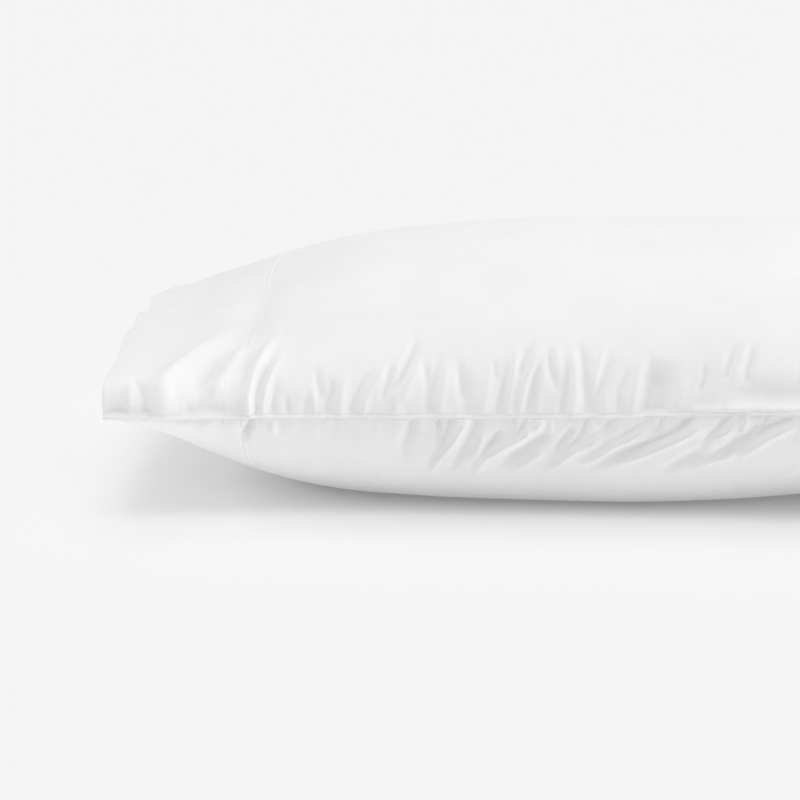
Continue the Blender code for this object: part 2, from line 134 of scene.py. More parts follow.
# ---- the folds ------------------------------------------------------------------
# A fold is a smooth line through a few places on the flat cloth, in millimetres along
# and across.  A place below zero lies past the seam or the mouth, so that the fold runs
# right up to it.  A negative height is a trough.
OVER, UNDER = True, False
FOLDS = (
    # layer, width, height, places
    # on the cuff, near side
    (OVER, 8.0, 5.4, ((44, -3), (42, 10), (42, 24), (49, 42), (61, 73), (70, 88), (79, 101),
                      (86, 111))),
    (OVER, 7.5, -7.0, ((62, 10), (69, 26), (77, 45), (83, 67), (88.5, 84), (92, 96))),
    (OVER, 6.0, 3.4, ((74, 8), (82, 26), (88.5, 45), (92.5, 67), (94.5, 80))),
    (OVER, 3.2, 2.1, ((19.5, -3), (18.5, 11), (19, 17))),
    (OVER, 3.2, -3.2, ((31, -3), (29.5, 12.5), (24.5, 20.5))),
    (OVER, 3.2, -2.6, ((0.5, -1), (6, 3.5), (14, 3))),
    (OVER, 3.0, -3.6, ((-10, -1), (4, 2.6), (30, 2.6), (50, 2.6), (66, 3.5))),
    (OVER, 4.5, -3.0, ((52, 2), (70, 4.5), (84, 4.8), (97, 5))),
    (OVER, 10.0, -2.5, ((8, 196), (18, 195), (36, 197), (55, 191))),
    (OVER, 8.0, 3.4, ((-6, 369), (20, 371), (40, 375), (62, 380))),
    # where the fill starts, just past the hem
    (OVER, 13.0, -6.0, ((98, 62), (98, 100), (99, 150), (101, 200), (103, 245))),
    (OVER, 2.8, -2.5, ((100, 11), (103.5, 42), (109.5, 68.5))),
    (OVER, 3.4, 4.8, ((104.5, -3), (103.5, 21), (111.5, 53.5), (120, 81))),
    (OVER, 2.5, -3.0, ((110.5, -3), (112, 21), (117.5, 45.5), (120.5, 54.5))),
    (OVER, 2.6, 2.8, ((113, -3), (115.5, 21), (126, 53))),
    (OVER, 2.2, -1.8, ((120.5, -3), (123, 23.5))),
    (OVER, 2.2, -2.0, ((134, -3), (132, 10.5))),
    (OVER, 2.2, -1.8, ((144, -3), (145.5, 10.5))),
    (OVER, 1.6, 1.2, ((152, -3), (152, 9), (150.5, 19))),
    # over the near side seam
    (OVER, 3.2, -3.5, ((161, -3), (161.5, 9), (164.5, 18.5), (164, 25.5))),
    (OVER, 2.8, -2.2, ((158, 9), (152, 36))),
    (OVER, 3.2, 1.8, ((171, -3), (172, 20.5), (173.5, 27), (175.5, 30))),
    (OVER, 2.8, -2.8, ((179, -3), (180.5, 10.5), (186, 25.5), (190.5, 31))),
    (OVER, 2.8, 1.8, ((187, -3), (190.5, 15.5), (201.5, 35), (204, 40))),
    (OVER, 2.6, -2.5, ((200, 6.5), (205, 29), (207.5, 40.5))),
    (OVER, 2.4, 1.4, ((209.5, -3), (211.5, 21.5), (212, 43))),
    (OVER, 2.8, -3.5, ((206, 12.5), (216.5, 35.5), (222, 53.5), (223, 65.5))),
    (OVER, 3.4, 2.0, ((212, -3), (214, 9), (225, 35), (229.5, 47.5))),
    (OVER, 2.8, -2.8, ((235.5, -3), (234.5, 20.5), (232, 38), (230, 42.5))),
    (OVER, 3.0, -3.2, ((238, -3), (239, 22), (242, 44.5))),
    (OVER, 3.0, 1.4, ((244, -3), (244, 9.5), (246, 19), (247.5, 39))),
    (OVER, 3.2, -2.8, ((261, 10), (258.5, 25.5), (256.5, 41.5))),
    (OVER, 4.4, -3.2, ((263, -3), (263, 11), (262.5, 20), (262, 31))),
    (OVER, 3.6, 1.6, ((275, -3), (278, 22.5), (279.5, 32.5))),
    (OVER, 1.8, -1.8, ((284.5, 26.5), (283.5, 37.5))),
    (OVER, 3.0, -3.0, ((286, -3), (287.5, 8), (292.5, 37.5))),
    (OVER, 2.8, 1.8, ((293, -3), (295.5, 21.5), (298.5, 49.5), (297.5, 57))),
    (OVER, 2.4, -2.5, ((301, 26.5), (304, 45.5), (309.5, 58))),
    (OVER, 2.6, 2.1, ((302, -3), (305, 20), (314, 48), (315.5, 55.5))),
    (OVER, 3.0, -3.5, ((307, -3), (311.5, 20), (315, 40.5))),
    (OVER, 3.0, 1.3, ((315, -3), (317, 20), (320, 44))),
    (OVER, 2.4, -3.0, ((330, 15.5), (324, 41), (323, 50))),
    (OVER, 2.6, 1.3, ((329.5, 30), (329, 50))),
    (OVER, 3.0, -4.2, ((333, -3), (336, 23), (337.5, 42))),
    (OVER, 3.6, 1.6, ((341, -3), (342.5, 20), (340, 43.5), (339.5, 52.5))),
    (OVER, 3.4, -4.0, ((351.5, -3), (351, 23), (349.5, 36.5), (344.5, 55.5))),
    (OVER, 2.8, 1.9, ((354.5, 18.5), (361, 46), (362.5, 53))),
    (OVER, 3.0, -3.0, ((357.5, -3), (357.5, 11.5), (366, 40), (367, 48))),
    (OVER, 2.2, 1.1, ((365.5, -3), (365, 12.5))),
    (OVER, 3.8, -3.0, ((374.5, -3), (374.5, 13.5), (376, 21), (379.5, 29), (380.5, 35.5))),
    (OVER, 3.2, 1.8, ((384.5, -3), (388.5, 26.5), (391.5, 45))),
    (OVER, 3.0, -3.2, ((395, -3), (396, 19), (398, 42.5))),
    (OVER, 9.5, -10.0, ((400, -3), (401, 10), (403, 28), (405, 38))),
    (OVER, 3.6, 1.6, ((417, 3.5), (423, 22.5))),
    (OVER, 2.6, -2.8, ((433, 14), (437, 27.5), (437, 34.5))),
    (OVER, 2.6, 1.0, ((447, 28.5), (450, 46))),
    (OVER, 2.8, -2.8, ((450, 22.5), (454, 31), (456, 44.5), (459, 54))),
    (OVER, 2.8, 1.8, ((456, 21.5), (465, 45.5), (466.5, 53.5))),
    (OVER, 3.0, -3.2, ((465.5, 20.5), (468, 27), (471.5, 50.5))),
    (OVER, 4.0, 2.4, ((430, 3), (480, 3), (520, 3), (550, 2.5))),
    (OVER, 3.4, 3.4, ((426, 1.5), (437, 2.6), (448, 2))),
    (OVER, 3.6, 3.8, ((450, 2), (463, 2.6), (474, 2))),
    (OVER, 3.2, 4.2, ((476, 2), (484, 2.6), (490, 2))),
    (OVER, 2.8, 3.6, ((491.5, 2), (496, 2.6), (501, 2))),
    (OVER, 6.0, -1.4, ((438, 14), (470, 15.5), (505, 15), (550, 14))),
    (OVER, 11.0, -4.8, ((450, 14), (490, 13), (525, 13), (575, 13))),
    # under the near side seam
    (UNDER, 2.4, 2.4, ((121, -3), (121.5, 10))),
    (UNDER, 2.4, -5.1, ((107, -3), (104.5, 8), (101.5, 13), (100, 22.5))),
    (UNDER, 3.6, -3.3, ((224, -3), (221, 12.5), (217.5, 20.5), (216.5, 33.5))),
    (UNDER, 2.2, -3.3, ((243, -3), (242, 20))),
    (UNDER, 3.0, -3.4, ((252.5, -3), (247.5, 17), (241, 34))),
    (UNDER, 3.2, 4.4, ((264, -3), (259.5, 8.5), (247, 27), (240, 40), (236, 54))),
    (UNDER, 3.2, -3.6, ((270, -3), (269, 9.5), (258.5, 30), (248, 54))),
    (UNDER, 2.6, 3.3, ((277, 8), (270.5, 27.5), (266.5, 34.5))),
    (UNDER, 3.2, -3.6, ((288.5, 7), (284, 17), (279, 26))),
    (UNDER, 3.4, 4.8, ((324, -3), (310, 10.5), (284, 27.5), (274, 38), (268, 58))),
    (UNDER, 2.4, -1.6, ((308.5, 4), (301.5, 13), (295, 18.5))),
    (UNDER, 1.8, 2.8, ((310.5, -3), (308.5, 8.5))),
    (UNDER, 1.8, 2.8, ((303.5, -3), (299.5, 8.5))),
    (UNDER, 2.4, -1.6, ((316.5, -3), (313.5, 5.5), (310, 11))),
    (UNDER, 3.6, -4.0, ((329, 7), (303, 28), (294, 35.5), (285, 48))),
    (UNDER, 3.0, 2.8, ((321.5, 25), (304.5, 42), (297, 50.5))),
    (UNDER, 1.8, 2.4, ((325.5, -3), (325, 9.5))),
    (UNDER, 3.0, -3.6, ((343, 5), (328.5, 26.5))),
    (UNDER, 3.6, 4.0, ((367, 10), (355, 19.5), (339, 30), (322, 50))),
    (UNDER, 3.2, 4.2, ((398, 7.5), (379, 19), (371, 23), (347, 42))),
    (UNDER, 3.8, -2.5, ((372, -3), (367, 6), (355, 17), (340, 26))),
    (UNDER, 3.8, -2.5, ((398, -3), (392, 6), (378, 17), (363, 25))),
    (UNDER, 2.2, -2.8, ((352, -3), (350, 6), (345, 17), (338, 24))),
    (UNDER, 2.8, -3.0, ((408, -3), (405.5, 6), (400, 12))),
    (UNDER, 3.0, -3.0, ((455, -3), (452, 6), (441, 17), (436, 26))),
    (UNDER, 2.4, -3.2, ((484, -3), (481, 6), (475, 12))),
    (UNDER, 4.2, -3.8, ((429, -3), (421, 10), (415, 15), (406.5, 18.5), (389, 26),
                        (366, 36.5), (347, 52))),
    (UNDER, 3.6, 5.6, ((443, 2), (432, 11), (414, 20), (398, 27.5), (388, 32.5), (366, 44))),
    (UNDER, 4.2, -3.2, ((440, 26.5), (418, 42), (406, 51))),
    (UNDER, 3.6, 3.8, ((462, 31), (454.5, 36), (447.5, 38), (430, 47))),
    (UNDER, 4.6, -4.2, ((499.5, -3), (495, 6.5), (489, 10.5), (469, 18.5), (461, 21.5),
                        (455, 28), (447, 35.5), (438, 44))),
    (UNDER, 3.6, 5.2, ((508, 8), (488, 16.5), (472.5, 28.5), (463, 38))),
    (UNDER, 1.8, 2.8, ((462.5, -3), (457.5, 10.5), (450.5, 16.5))),
    (UNDER, 1.8, 2.8, ((470.5, -3), (466, 12.5))),
    (UNDER, 1.8, 2.8, ((483, -3), (475.5, 15.5))),
    (UNDER, 4.6, 1.8, ((512, 50), (500, 61), (488, 70))),
    # on the cuff and past it, far side
    (OVER, 9.0, 3.5, ((30, 500), (52, 468), (68, 445))),
    (OVER, 7.0, -3.0, ((60, 500), (84, 465), (100, 440))),
    (OVER, 10.0, 2.0, ((12, 330), (40, 328), (62, 322))),
    (OVER, 12.0, 2.5, ((10, 222), (48, 229), (80, 232))),
    (OVER, 4.5, 3.5, ((106, 504), (117, 465), (135, 425))),
    (OVER, 4.0, -3.0, ((116, 504), (126, 472), (140, 440))),
    # from the end seam and its corners
    (OVER, 11.0, 5.0, ((716, 40), (668, 70), (610, 110))),
    (OVER, 9.0, -4.0, ((718, 85), (682, 103), (640, 130))),
    (OVER, 9.0, 3.0, ((718, 172), (684, 178), (650, 180))),
    (OVER, 10.0, -3.5, ((718, 265), (686, 262), (655, 258))),
    (OVER, 9.0, 3.5, ((718, 345), (684, 339), (648, 330))),
    (OVER, 9.0, -4.0, ((718, 420), (680, 402), (636, 372))),
    (OVER, 11.0, 5.0, ((716, 470), (665, 441), (605, 402))),
    (UNDER, 10.0, 4.5, ((716, 44), (669, 78), (615, 120))),
    (UNDER, 9.0, -3.5, ((718, 150), (688, 157), (655, 165))),
    (UNDER, 10.0, 3.0, ((718, 300), (686, 296), (652, 290))),
    (UNDER, 10.0, 4.5, ((716, 462), (668, 428), (612, 385))),
)
FOLD_RELIEF = 0.95           # the heights above are scaled by this
FOLD_RISE = 0.25             # share of its length in which a fold off the seam rises
FOLD_FADE = 0.45             # share in which any fold dies out
FOLD_RUN_OUT = 0.008         # a fold runs this far past its last place
FOLD_STEP = 0.003            # a fold's line is followed in steps of this
FOLD_REACH = 3               # a fold isn't felt past this many of its widths
SEAM_HOLD = 0.005            # the stitching holds the folds down this near a seam
SEAM_GIVE = 0.25             # share of their height that is left at the seam itself

# Puckers: finer and finer gathers towards a seam, each size dying out sooner.
PUCKERS = (
    # wavelength, height, reach from the seam, in millimetres
    (32.0, 0.50, 46.0),
    (17.0, 0.60, 26.0),
    (9.0, 0.60, 14.0),
    (5.0, 0.34, 8.0),
)
PUCKER_SLANT = 0.35          # how far their lines lean at most
LEAN_LENGTH = 0.060          # the lean changes over about this much of a seam
LEAN_LANE = 7.5              # where in the noise the leans are read
LANE_STEP = 20.0             # how far apart two seams' puckers are read there
SIZE_STEP = 3.0              # and two sizes of them
PUCKER_SEED = 11

# Raised and sunk lines beside a seam, by their distance from it in millimetres.
SEAM_LINES = (
    # layer, distance, height, width
    (OVER, 0.0, 0.75, 0.8),
    (UNDER, 0.0, 0.75, 0.8),
    (OVER, 1.9, -0.70, 0.8),
    (UNDER, 1.6, -0.25, 0.6),
    (UNDER, 2.8, 0.22, 0.5),
    (UNDER, 3.6, -0.25, 0.6),
)
# The same round the bag, by their distance from the mouth.
HEM_LINES = (
    # distance, height, width
    (85.7, -0.15, 0.8),
    (87.3, 0.10, 0.8),
    (98.5, -0.34, 0.8),
    (100.0, 0.16, 0.7),
    (101.5, -0.50, 0.8),
)
HEM_STEP = 0.0004            # the doubled cuff stands this much above the single cloth
HEM_STEP_LENGTH = 0.002      # length over which it comes down to it

# ---- the stitches ---------------------------------------------------------------
HEM_STITCHES = 0.100         # their line round the bag, from the mouth
SEAM_STITCHES = 0.0028       # their line on the under layer, from each seam
STITCH_PITCH = 0.0032        # from one stitch to the next
STITCH_LENGTH = 0.0027
THREAD = 0.00045             # the sewing thread's thickness
STITCH_SPREAD = 0.12         # share by which their lengths differ
STITCH_SEED = 5
STITCH_SEGMENTS = 8          # a stitch is a small ball of these, drawn out
STITCH_RINGS = 6

# ---- the mesh -----------------------------------------------------------------
ROW_STRETCHES = (            # steps along the bag, from the mouth
    # from,  to,    steps
    (0.0000, 0.0845, 54),
    (0.0845, 0.0885, 9),
    (0.0885, 0.0980, 7),
    (0.0980, 0.1025, 13),
    (0.1025, 0.5300, 318),
    (0.5300, 0.7000, 46),
)
END_STEPS = 22               # from there to the end seam, closer and closer
END_CROWDING = 2.2
NEAR_STRETCHES = (           # steps across each layer, from the near seam to its middle
    # from,   to,     steps, growth
    (0.0000, 0.0044, 11, 1.0),
    (0.0044, 0.0600, 30, 1.25),
    (0.0600, 0.2540, 16, 1.5),
)
FAR_STRETCHES = (            # the same from the far seam
    (0.0000, 0.0044, 8, 1.0),
    (0.0044, 0.0600, 15, 1.25),
    (0.0600, 0.2540, 14, 1.5),
)
CUFF_STRETCH = (0.0, PILLOW_END, 18)
RIM_STEPS = 5                # round the folded edge of the hem
PILLOW_END_STEPS = 12
ARCH_SAMPLES = 301           # points at which a section's girth is measured
HALVINGS = 30                # of the range in which the half width is sought
LEAST_HALF_WIDTH = 0.1
WELD = 0.00002               # points nearer than this are one point
TINY = 1e-12                 # keeps a normal without a length from dividing by zero

# ---- the finishes ---------------------------------------------------------------
FLAT_CLOTH = "flat cloth"    # the UV map's name
THREAD_PITCH = 0.0008        # drawn three times as coarse as real percale's 0.27 mm
WEAVE_HEIGHT = 0.00004
SLUB_HEIGHT = 0.00004
CREASE_HEIGHT = 0.0003
COTTON_GRAINS = (            # how uneven the cloth is, as noise, in millimetres
    # what, along, across, detail
    ("warp", 24.0, 0.9, 1.0),               # thicker stretches of the threads
    ("weft", 0.9, 24.0, 1.0),
    ("creases", 11.0, 15.0, 3.0),
    ("clouds", 60.0, 60.0, 2.0),            # slightly darker areas
)
FIBRE_GRAIN = 0.0005         # the sewing thread's own unevenness
FIBRE_HEIGHT = 0.1 * THREAD
COTTON_COLOURS = ("#f3f3f3", "#ededed")     # where it is lightest and darkest
THREAD_COLOURS = ("#f6f6f6", "#eeeeee")
FLOOR_COLOUR = "#f2f2f2"

# ---- the floor and the light ----------------------------------------------------
FLOOR_SIZE = 120.0
ROOM_LIGHT = 0.50            # how brightly the room itself lights the cloth
ROOM_SEEN = 0.913            # how bright its far wall looks, like the floor
BOTH, CASE, FLOOR = "both", "case", "floor"
PANELS = (
    # name, azimuth, elevation, spread in degrees, strength, what it lights
    ("top_panel", 0, 90, 80, 0.185, BOTH),
    ("front_panel", 0, 60, 30, 0.167, BOTH),
    ("back_panel", 180, 55, 40, 0.060, BOTH),
    ("left_panel", -90, 20, 40, 0.140, BOTH),
    ("right_panel", 90, 20, 40, 0.345, CASE),
    ("table_panel", 80, -55, 60, 0.215, CASE),
    ("floor_panel", -90, 20, 40, 0.280, FLOOR),
)

# ---- the view -------------------------------------------------------------------
CAMERA_AZIMUTH = math.radians(4.46)
CAMERA_ELEVATION = math.radians(11.87)
CAMERA_DISTANCE = 6.0        # from the mouth's near corner
CAMERA_REACH = 200.0         # it sees nothing past this
PIXEL = 0.7313 * MM          # size of a pixel of the 800 by 800 picture at the mouth
PICTURE = 800                # the picture's width and height in pixels
MOUTH_CORNER_PIXEL = (104, 418)             # where the mouth's near corner is seen
SENSOR = 36.0                # the camera's, in its own millimetres


# ---- the bag's form -------------------------------------------------------------
def eased(t):
    """A share of the way, slow at both ends and held between 0 and 1."""
    t = np.clip(t, 0.0, 1.0)
    return t * t * (3 - 2 * t)


def smooth(at, table, column):
    """A smooth curve through one column of a table whose first column is the place."""
    places, values = table[:, 0], table[:, column]
    slopes = np.gradient(values, places)
    at = np.clip(at, places[0], places[-1])
    left = np.clip(np.searchsorted(places, at) - 1, 0, len(places) - 2)
    span = places[left + 1] - places[left]
    t = (at - places[left]) / span
    return ((2 * t**3 - 3 * t**2 + 1) * values[left]
            + (t**3 - 2 * t**2 + t) * span * slopes[left]
            + (3 * t**2 - 2 * t**3) * values[left + 1]
            + (t**3 - t**2) * span * slopes[left + 1])


def closing(along):
    """1 up to the crest, then falling to 0 at the end seam, as a filled end rounds."""
    t = np.clip((along - CREST) / (FILLED_LENGTH - CREST), 0.0, 1.0)
    return (1.0 - t**2) ** END_ROUNDING


def layer_shape(along):
    """Rise, drop and the two fullnesses of the bag's sections."""
    rise = smooth(along, SECTIONS, 1) * closing(along)
    drop = smooth(along, SECTIONS, 2) * closing(along)
    past_crest = np.clip((along - CREST) / (FILLED_LENGTH - CREST), 0.0, 1.0) ** 2
    upper = smooth(along, SECTIONS, 3)
    under = smooth(along, SECTIONS, 4)
    upper = upper + (END_FULLNESS - upper) * past_crest
    under = under + (END_FULLNESS - under) * past_crest
    return rise, drop, upper, under


def arch(share, height, fullness):
    """Height of a layer at a share of its way from seam to seam."""
    return height * np.maximum(np.sin(share * math.pi), 0.0) ** fullness


def on_floor(z):
    """Heights kept above the floor, with a soft turn where the cloth meets it."""
    above = z + FLOOR_DEPTH
    turning = (above + FLOOR_BLEND) ** 2 / (4 * FLOOR_BLEND)
    clear = np.where(above < -FLOOR_BLEND, 0.0, np.where(above < FLOOR_BLEND, turning, above))
    return clear - FLOOR_DEPTH


def half_widths(along):
    """Half the bag's width at each place: the rest of the cloth's girth is in its arch."""
    rise, drop, upper, under = (column[:, None] for column in layer_shape(along))
    share = np.linspace(0.0, 1.0, ARCH_SAMPLES)[None, :]
    up = arch(share, rise, upper)
    down = on_floor(-arch(share, drop, under))
    narrow = np.full(len(along), LEAST_HALF_WIDTH)
    wide = np.full(len(along), CASE_WIDTH / 2)
    for _ in range(HALVINGS):
        half = (narrow + wide) / 2
        across = -half[:, None] * np.cos(share * math.pi)
        length = (np.hypot(np.diff(across), np.diff(up)).sum(axis=1)
                  + np.hypot(np.diff(across), np.diff(down)).sum(axis=1))
        wide = np.where(length > GIRTH, half, wide)
        narrow = np.where(length > GIRTH, narrow, half)
    return half


def outer_rows():
    """Places along the bag, from the mouth to the end seam."""
    rows = [np.zeros(1)]
    for start, stop, steps in ROW_STRETCHES:
        rows.append(np.linspace(start, stop, steps + 1)[1:])
    left = np.linspace(1.0, 0.0, END_STEPS + 1)[1:] ** END_CROWDING
    rows.append(FILLED_LENGTH - (FILLED_LENGTH - stop) * left)
    return np.concatenate(rows)


def half_columns(stretches):
    """Places from a seam to the middle of a layer, closest at the seam."""
    places = [np.zeros(1)]
    for start, stop, steps, growth in stretches:
        t = np.linspace(0.0, 1.0, steps + 1)[1:]
        places.append(start + (stop - start) * t**growth)
    return np.concatenate(places)


def layer_columns():
    """Places across a layer, from the near seam to the far one."""
    far = half_columns(FAR_STRETCHES)
    return np.concatenate([half_columns(NEAR_STRETCHES), CASE_WIDTH - far[-2::-1]])


def shares_at(across, half, height, fullness):
    """The shares of the way over an arch at which the cloth's own places lie."""
    share = np.linspace(0.0, 1.0, ARCH_SAMPLES)
    found = np.empty((len(half), len(across)))
    for row in range(len(half)):
        y = -half[row] * np.cos(share * math.pi)
        z = arch(share, height[row], fullness[row])
        run = np.concatenate([[0.0], np.cumsum(np.hypot(np.diff(y), np.diff(z)))])
        found[row] = np.interp(across / CASE_WIDTH, run / run[-1], share)
    return found


class Skin:
    """The outer skin as rows of points.  A row goes round the bag: over it from the
    near seam (-Y) to the far one, then back under it."""

    def __init__(self, along):
        over = layer_columns()
        self.over_count = len(over)
        self.across = np.concatenate([over, over[-2:0:-1]])[None, :]
        self.is_upper = (np.arange(self.across.shape[1]) < self.over_count)[None, :]
        self.along = along[:, None]
        rise, drop, upper, under = layer_shape(along)
        half = half_widths(along)
        share_over = shares_at(over, half, rise, upper)
        share_under = shares_at(over, half, drop, under)
        share = np.concatenate([share_over, share_under[:, -2:0:-1]], axis=1)
        half = half[:, None]
        y = -half * np.cos(share * math.pi)
        z = np.where(self.is_upper, arch(share, rise[:, None], upper[:, None]),
                     -arch(share, drop[:, None], under[:, None]))
        fading = np.exp(-((self.along / WAVE_REACH) ** 2))
        upper_lift, forward, under_lift = (
            smooth(share, MOUTH_WAVES, column) * fading for column in (1, 2, 3))
        z = z + np.where(self.is_upper, upper_lift, under_lift)
        near_end = np.clip((self.along - FILLED_LENGTH + EAR_LENGTH) / EAR_LENGTH, 0.0, 1.0) ** 2
        corner = np.abs(y / half) ** EAR_SHARPNESS * near_end
        x = self.along - forward + EAR_LENGTHENING * corner
        z = z + smooth(self.along, SEAM_LEVELS, 1) - EAR_DROP * corner
        self.points = np.stack(np.broadcast_arrays(x, y, z), axis=-1)


def outward(points):
    """Unit normals of a skin whose rows close on themselves."""
    along_rows = np.gradient(points, axis=0)
    round_rows = np.roll(points, -1, axis=1) - np.roll(points, 1, axis=1)
    normals = np.cross(along_rows, round_rows)
    return normals / (np.linalg.norm(normals, axis=-1, keepdims=True) + TINY)


# ---- folds, puckers and seams ---------------------------------------------------
def fold_line(places):
    """A smooth line through the places and on past the last, in steps, in metres."""
    places = np.array(places, float) * MM
    run = places[-1] - places[-2]
    end = places[-1] + run * FOLD_RUN_OUT / np.linalg.norm(run)
    places = np.concatenate([places, [end]])
    knots = np.concatenate([[2 * places[0] - places[1]], places, [2 * end - places[-2]]])
    line = [places[:1]]
    for a, b, c, d in zip(knots, knots[1:], knots[2:], knots[3:]):
        steps = max(1, round(float(np.linalg.norm(c - b)) / FOLD_STEP))
        t = (np.arange(1, steps + 1) / steps)[:, None]
        line.append(0.5 * (2 * b + (c - a) * t + (2 * a - 5 * b + 4 * c - d) * t**2
                           + (3 * b - a - 3 * c + d) * t**3))
    return np.concatenate(line)


def fold_height(along, across, width, height, places):
    """One fold's height at every point, from its nearest place on the fold's line."""
    line = fold_line(places)
    steps = np.linalg.norm(np.diff(line, axis=0), axis=1)
    reached = np.concatenate([[0.0], np.cumsum(steps)]) / steps.sum()
    nearest = np.full(along.shape, np.inf)
    share = np.zeros(along.shape)
    for index, step in enumerate(steps):
        start, run = line[index], (line[index + 1] - line[index]) / step
        off_along, off_across = along - start[0], across - start[1]
        t = np.clip(off_along * run[0] + off_across * run[1], 0.0, step)
        distance = np.hypot(off_along - t * run[0], off_across - t * run[1])
        closer = distance < nearest
        nearest = np.where(closer, distance, nearest)
        at = reached[index] + (reached[index + 1] - reached[index]) * t / step
        share = np.where(closer, at, share)
    ends = eased((1 - share) / FOLD_FADE)
    if places[0][1] > 0:
        ends = ends * eased(share / FOLD_RISE)
    return height * np.exp(-((nearest / width) ** 2)) * ends


def folds(skin):
    """How far the listed folds lift the cloth off the bag's smooth skin."""
    shape = np.broadcast_shapes(skin.along.shape, skin.across.shape)
    along = np.broadcast_to(skin.along, shape)
    across = np.broadcast_to(skin.across, shape)
    upper = np.broadcast_to(skin.is_upper, shape)
    total = np.zeros(shape)
    for layer, width, height, places in FOLDS:
        width = width * MM
        reach = FOLD_REACH * width
        spots = np.array(places) * MM
        low, high = spots.min(axis=0) - reach, spots.max(axis=0) + reach
        near = ((along > low[0]) & (along < high[0]) & (across > low[1]) & (across < high[1])
                & (upper == layer))
        total[near] += fold_height(along[near], across[near], width, height * MM * FOLD_RELIEF,
                                   places)
    return total


class Noise:
    """Smooth seeded noise between -1 and 1, one value for each place."""
    SIZE = 256

    def __init__(self, seed):
        self.knots = np.random.default_rng(seed).uniform(-1.0, 1.0, (self.SIZE, self.SIZE))

    def __call__(self, u, v):
        left, below = np.floor(u).astype(int), np.floor(v).astype(int)
        s, t = eased(u - left), eased(v - below)
        left, right = left % self.SIZE, (left + 1) % self.SIZE
        below, above = below % self.SIZE, (below + 1) % self.SIZE
        low = self.knots[left, below] * (1 - s) + self.knots[right, below] * s
        high = self.knots[left, above] * (1 - s) + self.knots[right, above] * s
        return low * (1 - t) + high * t


def puckers(place, distance, noise, lane):
    """Gathers along one seam.  Place is the way along it, distance the way off it, and
    each seam of each layer has its own lane of the noise."""
    lean = PUCKER_SLANT * noise(place / LEAN_LENGTH, np.full_like(place, LEAN_LANE + lane))
    total = np.zeros(np.broadcast_shapes(place.shape, distance.shape))
    for size, (wavelength, height, reach) in enumerate(PUCKERS):
        u = (place + lean * distance) / (wavelength / 2 * MM)
        v = distance / (reach * MM) + LANE_STEP * lane + SIZE_STEP * size
        total = total + height * MM * noise(u, v) * np.exp(-((distance / (reach * MM)) ** 2))
    return total


def seam_relief(distance, is_upper):
    """The welt and the sunk lines beside a seam."""
    total = np.zeros(np.broadcast_shapes(distance.shape, is_upper.shape))
    for layer, place, height, width in SEAM_LINES:
        line = height * MM * np.exp(-(((distance - place * MM) / (width * MM)) ** 2))
        total = total + np.where(is_upper == layer, line, 0.0)
    return total


def hem_relief(along):
    """The hem's stitched line, its turned edge and the step off the doubled cloth."""
    total = HEM_STEP * eased((HEM_DEPTH + HEM_STEP_LENGTH / 2 - along) / HEM_STEP_LENGTH)
    for place, height, width in HEM_LINES:
        total = total + height * MM * np.exp(-(((along - place * MM) / (width * MM)) ** 2))
    return total


def folded(skin):
    """The skin with its folds, puckers and seams, resting on the floor."""
    noise = Noise(PUCKER_SEED)
    to_end = np.zeros(skin.points.shape[:2])
    steps = np.linalg.norm(np.diff(skin.points, axis=0), axis=-1)
    to_end[:-1] = np.cumsum(steps[::-1], axis=0)[::-1]
    to_end = to_end + FILLED_LENGTH - skin.along[-1]
    near, far = skin.across, CASE_WIDTH - skin.across
    to_side = np.minimum(near, far)
    to_seam = np.minimum(to_side, to_end)
    relief = folds(skin)
    for lane, layer in ((1, OVER), (2, UNDER)):
        gathers = (puckers(skin.along, near, noise, lane)
                   + puckers(skin.along, far, noise, lane + 2)
                   + puckers(skin.across, to_end, noise, lane + 4))
        relief = relief + np.where(skin.is_upper == layer, gathers, 0.0)
    relief = relief * (SEAM_GIVE + (1 - SEAM_GIVE) * eased(to_seam / SEAM_HOLD))
    relief = relief + seam_relief(to_seam, skin.is_upper) + hem_relief(skin.along)
    points = skin.points + outward(skin.points) * relief[..., None]
    points[..., 2] = on_floor(points[..., 2])
    return points


# ---- the pieces -----------------------------------------------------------------
def lining(rows_in):
    """The cuff's inner face: the skin drawn in by the thickness of the wall."""
    skin = Skin(rows_in)
    points = folded(skin)
    rise, drop, _, _ = layer_shape(rows_in)
    half = half_widths(rows_in)[:, None]
    level = smooth(rows_in, SEAM_LEVELS, 1)[:, None]
    upper_part = 1 - HEM_WALL / rise[:, None]
    under_part = 1 - HEM_WALL / drop[:, None]
    up = points[..., 2] - level
    points[..., 1] *= 1 - SEAM_WALL / half
    points[..., 2] = level + up * np.where(up > 0, upper_part, under_part)
    return points


def pillow_end(ring):
    """The pillow's rounded end, from the cuff's inner face to the pillow's own seam."""
    across_from = np.roll(ring[::-1], 1, axis=0)
    middle = (ring + across_from) / 2
    half = np.abs(ring[:, 1]).max()
    rows = []
    for turn in np.linspace(0.0, math.pi / 2, PILLOW_END_STEPS + 1)[1:]:
        row = middle + (ring - middle) * math.cos(turn)
        row[:, 0] -= PILLOW_BULGE * math.sin(turn)
        row[:, 1] *= 1 - PILLOW_INSET / half * (1 - math.cos(turn))
        rows.append(row)
    return np.array(rows)


def hem_edge(outside, inside):
    """The hem's folded edge, rounded from the cuff's outer face to its inner one."""
    middle, side = (outside + inside) / 2, (outside - inside) / 2
    rows = []
    for turn in np.linspace(0.0, math.pi, RIM_STEPS + 1)[1:-1]:
        row = middle + side * math.cos(turn)
        row[:, 0] -= HEM_WALL / 2 * math.sin(turn)
        rows.append(row)
    return np.array(rows)


